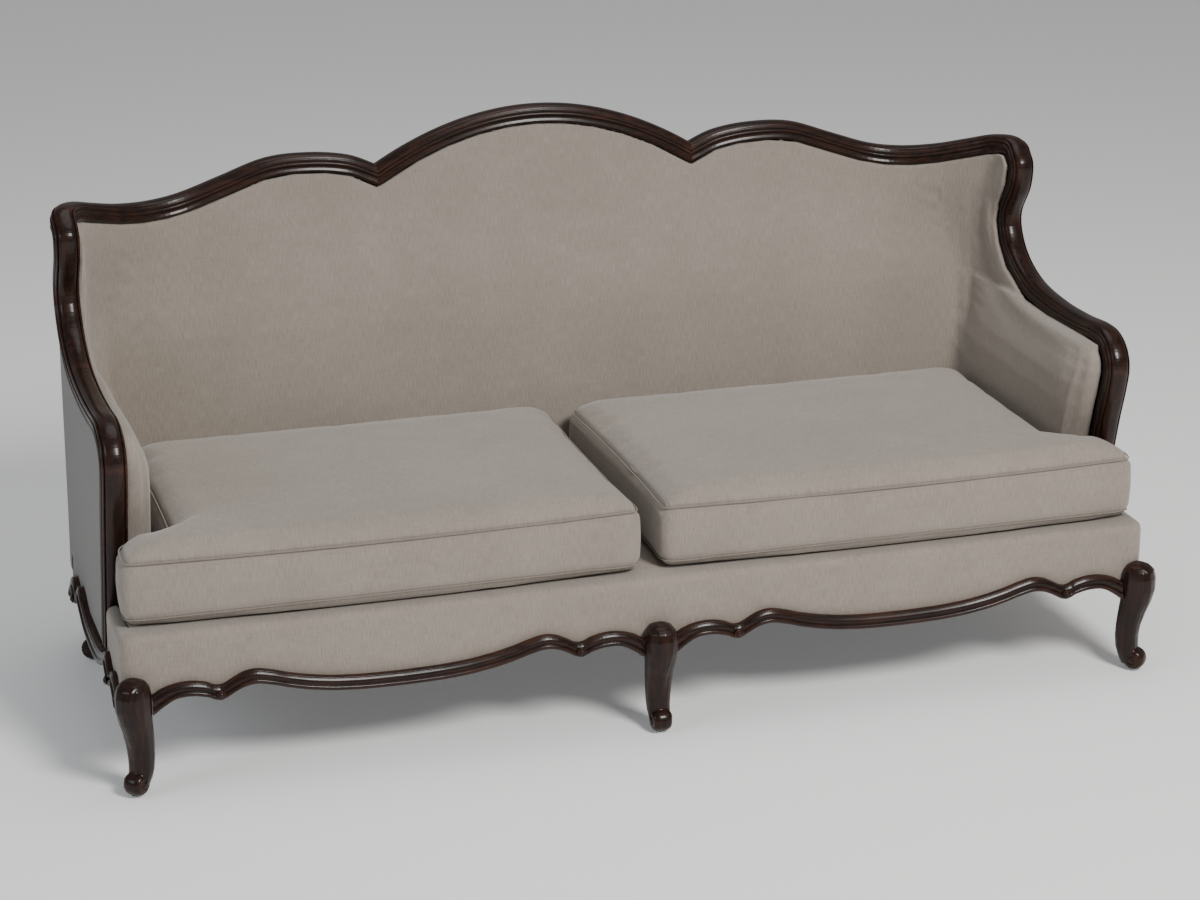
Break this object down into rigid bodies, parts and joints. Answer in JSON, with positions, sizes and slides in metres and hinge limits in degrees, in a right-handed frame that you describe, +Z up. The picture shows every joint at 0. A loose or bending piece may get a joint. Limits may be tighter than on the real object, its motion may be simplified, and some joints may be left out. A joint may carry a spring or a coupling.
{
  "type": "cabriole sofa",
  "caption": "Cabriole sofa with a moulded show-wood rail over an arched back and scrolled arms, loose T-shaped seat cushions, a scalloped apron and short scroll-footed cabriole legs.",
  "frame": {"origin": "middle of the footprint, on the floor", "axes": "+X across the sofa to the right in the picture, +Y from the front to the back, +Z up; the front faces -Y"},
  "size_m": [2.0628, 0.9013, 1.037],
  "materials": {
    "show_wood": "dark espresso stain under gloss lacquer",
    "frame_wood": "sawn beech, unfinished",
    "linen": "fine plain-weave linen, warm grey taupe",
    "outside_linen": "the same linen over the outside panels",
    "webbing": "woven jute webbing",
    "dust_cloth": "black non-woven cambric",
    "foam": "open-cell foam",
    "steel": "zinc-plated"
  },
  "bodies": {
    "frame": {"crest_rail_centre": "show_wood", "crest_rail_left": "show_wood", "crest_rail_right": "show_wood", "wing_rail_left": "show_wood", "wing_rail_right": "show_wood", "arm_rail_left": "show_wood", "arm_rail_right": "show_wood", "arm_stump_left": "show_wood", "arm_stump_right": "show_wood", "front_apron_left": "show_wood", "front_apron_right": "show_wood", "side_apron_left": "show_wood", "side_apron_right": "show_wood", "apron_bosses": "show_wood", "front_leg_left": "show_wood", "front_leg_centre": "show_wood", "front_leg_right": "show_wood", "rear_leg_left": "show_wood", "rear_leg_right": "show_wood", "foot_glides": "steel", "front_rail_left": "frame_wood", "front_rail_right": "frame_wood", "ear_rail_left": "frame_wood", "ear_rail_right": "frame_wood", "side_rail_left": "frame_wood", "side_rail_right": "frame_wood", "rear_rail": "frame_wood", "rear_corner_left": "frame_wood", "rear_corner_right": "frame_wood", "seat_stretchers": "frame_wood", "corner_blocks": "frame_wood", "corner_screws": "steel", "back_post_left": "frame_wood", "back_post_right": "frame_wood", "back_uprights": "frame_wood", "back_tuck_rail": "frame_wood", "arm_tuck_rail_left": "frame_wood", "arm_tuck_rail_right": "frame_wood", "frame_dowels": "frame_wood", "seat_webbing": "webbing", "back_webbing": "webbing", "seat_deck": "linen", "dust_cover": "dust_cloth", "front_border": "linen", "inside_back": "linen", "inside_wing_left": "linen", "inside_wing_right": "linen", "inside_arm_left": "linen", "inside_arm_right": "linen", "outside_back": "outside_linen", "outside_arm_left": "outside_linen", "outside_arm_right": "outside_linen"},
    "seat_cushion_left": {"cushion_cover_left": "linen", "cushion_core_left": "foam"},
    "seat_cushion_right": {"cushion_cover_right": "linen", "cushion_core_right": "foam"}
  },
  "joints": [
    {"name": "seat_cushion_left_lift", "type": "slide", "parent": "frame", "child": "seat_cushion_left", "axis": [0, -0.5, 0.866], "range_m": [0, 0.45]},
    {"name": "seat_cushion_right_lift", "type": "slide", "parent": "frame", "child": "seat_cushion_right", "axis": [0, -0.5, 0.866], "range_m": [0, 0.45]}
  ]
}
